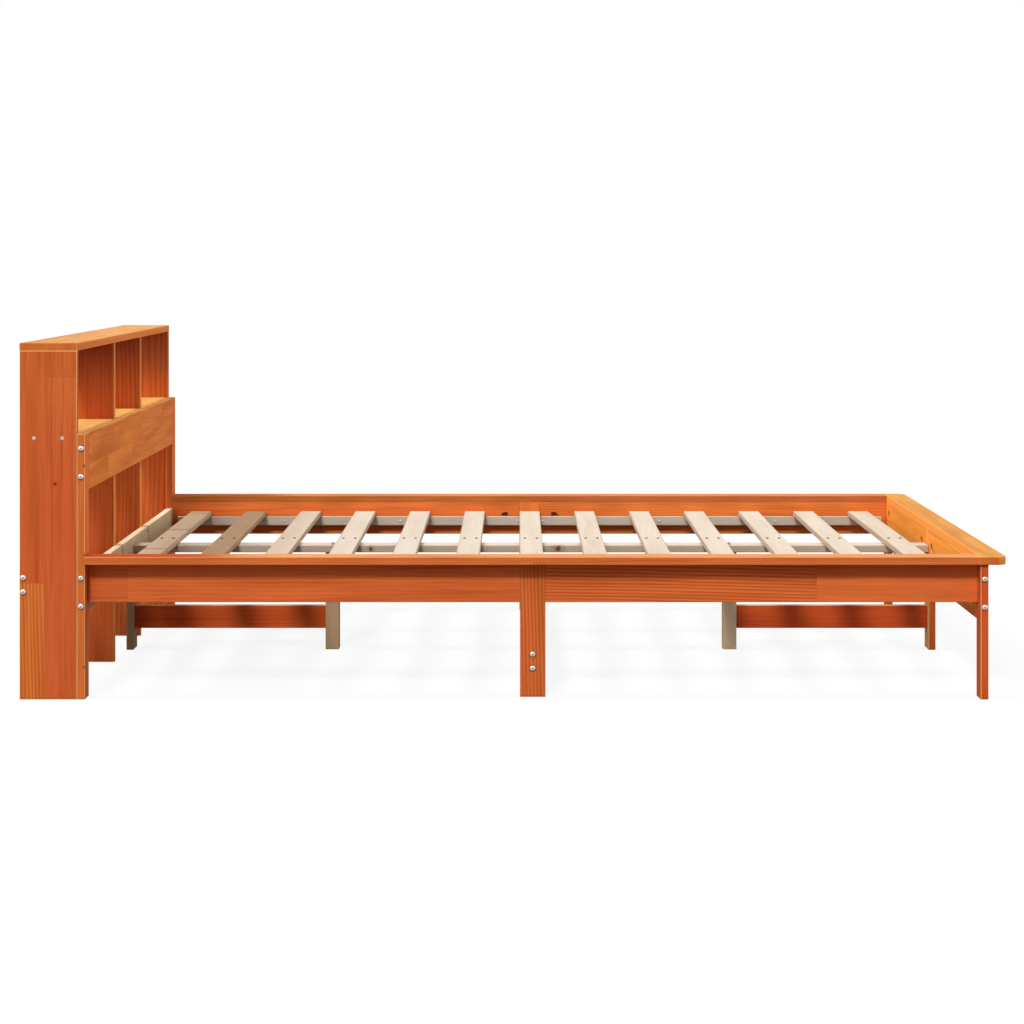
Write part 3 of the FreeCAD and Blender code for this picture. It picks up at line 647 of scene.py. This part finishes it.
def bolt_steel():
    """Zinc plated steel, with painted shade in its sockets and on its undersides."""
    material, t, shader, _, colour = small_material("bolt_steel", BOLT_ZINC, BOLT_ROUGH, 1.0)
    # Undersides painted dark as shade, and painted shade in the socket
    colour = t.mix(t.ease(t.upward(), *BOLT_UNDERSIDE, 1.0, 0.0), colour, BOLT_SHADE)
    t.feed(shader["Base Color"], t.tint(colour, CREASE_SHADE, t.hidden(SOCKET_SHADE_REACH)))
    return material


def screw_steel():
    """Zinc plated screws, darker in the slats than in the battens."""
    material, t, shader, place, colour = small_material("screw_steel", SCREW_ZINC, SCREW_ROUGH, 1.0)
    in_slat = t.ease(t.split(place)[2], BATTEN_TOP, BATTEN_TOP + SCREW_CHANGE)
    t.feed(shader["Base Color"], t.mix(in_slat, colour, SCREW_DULL))
    return material


def dowel_wood():
    """Bare beech, with a darker rim where a dowel's end shows on a side panel."""
    material, t, shader, place, colour = small_material("dowel_wood", BEECH, DOWEL_ROUGH, 0.0)
    low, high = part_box("shelf_left")
    x, _, z = t.split(place)
    from_middle = t.math("ABSOLUTE", t.math("SUBTRACT", x, (low.x + high.x) / 2))
    off_x = t.math("SUBTRACT", from_middle, SHELF_DOWEL_REACH)
    off_z = t.math("SUBTRACT", z, (low.z + high.z) / 2)
    rim = t.ease(t.vector("LENGTH", t.join(off_x, 0.0, off_z)), *DOWEL_RIM_REACH)
    t.feed(shader["Base Color"], t.tint(colour, DOWEL_RIM, rim))
    return material


def dress(node, material):
    """Give a node one material."""
    mesh = frame["nodes"][node].data
    mesh.materials.clear()
    mesh.materials.append(material)


def dress_all():
    small = {"bolt_steel": bolt_steel(), "screw_steel": screw_steel(), "dowel_wood": dowel_wood()}
    finishes = {"stained_pine": STAINED, "plain_pine": PLAIN}
    for part in frame["record"]["subparts"]:
        node, slot = part["node"], part["material_slot"]
        if slot in small:
            dress(node, small[slot])
        else:
            dress(node, wood_material(node, {**finishes[slot], **BOARD_LOOKS.get(node, {})}))


# Floor, light and camera

def seen_rays(t):
    """1 for rays that the eye sees straight or in metal and glass, and 0 for rays of light."""
    path = t.node("ShaderNodeLightPath")
    seen = t.math("MAXIMUM", path.outputs["Is Camera Ray"], path.outputs["Is Glossy Ray"])
    return t.math("MAXIMUM", seen, path.outputs["Is Transmission Ray"])


def make_floor():
    mesh = bpy.data.meshes.new("floor")
    corners = [(-FLOOR_HALF, -FLOOR_HALF, 0), (FLOOR_HALF, -FLOOR_HALF, 0),
               (FLOOR_HALF, FLOOR_HALF, 0), (-FLOOR_HALF, FLOOR_HALF, 0)]
    mesh.from_pydata(corners, [], [(0, 1, 2, 3)])
    floor = bpy.data.objects.new("floor", mesh)
    bpy.context.scene.collection.objects.link(floor)
    material = bpy.data.materials.new("floor")
    material.use_nodes = True
    material.node_tree.nodes.clear()
    t = Tree(material.node_tree)
    paint = t.node("ShaderNodeBsdfDiffuse")
    paint.inputs["Color"].default_value = (FLOOR_GREY, FLOOR_GREY, FLOOR_GREY, 1.0)
    lift = t.node("ShaderNodeEmission")
    t.feed(lift.inputs["Strength"], t.share(seen_rays(t), FLOOR_LIFT))
    both = t.node("ShaderNodeAddShader")
    t.feed(both.inputs[0], paint.outputs[0])
    t.feed(both.inputs[1], lift.outputs[0])
    t.feed(t.node("ShaderNodeOutputMaterial").inputs["Surface"], both.outputs[0])
    mesh.materials.append(material)


def make_world():
    world = bpy.data.worlds.new("studio")
    bpy.context.scene.world = world
    world.use_nodes = True
    t = Tree(world.node_tree)
    sky = world.node_tree.nodes["Background"]
    sky.inputs["Color"].default_value = (1.0, 1.0, 1.0, 1.0)
    t.feed(sky.inputs["Strength"], t.ease(seen_rays(t), 0.0, 1.0, SKY_STRENGTH, 1.0))


def add_sun(name, bearing, elevation, size, strength):
    turn, rise = math.radians(bearing), math.radians(elevation)
    travel = Vector((math.sin(turn) * math.cos(rise), math.cos(turn) * math.cos(rise), -math.sin(rise)))
    sun = bpy.data.lights.new(name, "SUN")
    sun.energy = strength
    sun.angle = math.radians(size)
    holder = bpy.data.objects.new(name, sun)
    holder.rotation_euler = travel.to_track_quat("-Z", "Y").to_euler()
    bpy.context.scene.collection.objects.link(holder)


def make_lights():
    for name, (bearing, elevation, size, strength) in LIGHTS.items():
        turns = KEY_TURNS if name == "key" else (0.0,)
        for turn in turns:
            add_sun(name, bearing + turn, elevation, size, strength / len(turns))


def make_camera():
    camera = bpy.data.cameras.new("camera")
    camera.lens = CAMERA_LENS
    camera.sensor_width = CAMERA_SENSOR
    camera.shift_x = 0.5 - VANISHING_POINT[0] / IMAGE_SIDE
    camera.shift_y = VANISHING_POINT[1] / IMAGE_SIDE - 0.5
    holder = bpy.data.objects.new("camera", camera)
    holder.location = CAMERA_PLACE
    holder.rotation_euler = (math.pi / 2, 0.0, 0.0)
    bpy.context.scene.collection.objects.link(holder)
    bpy.context.scene.camera = holder


dress_all()
make_floor()
make_world()
make_lights()
make_camera()
bpy.context.scene.view_settings.view_transform = "Standard"
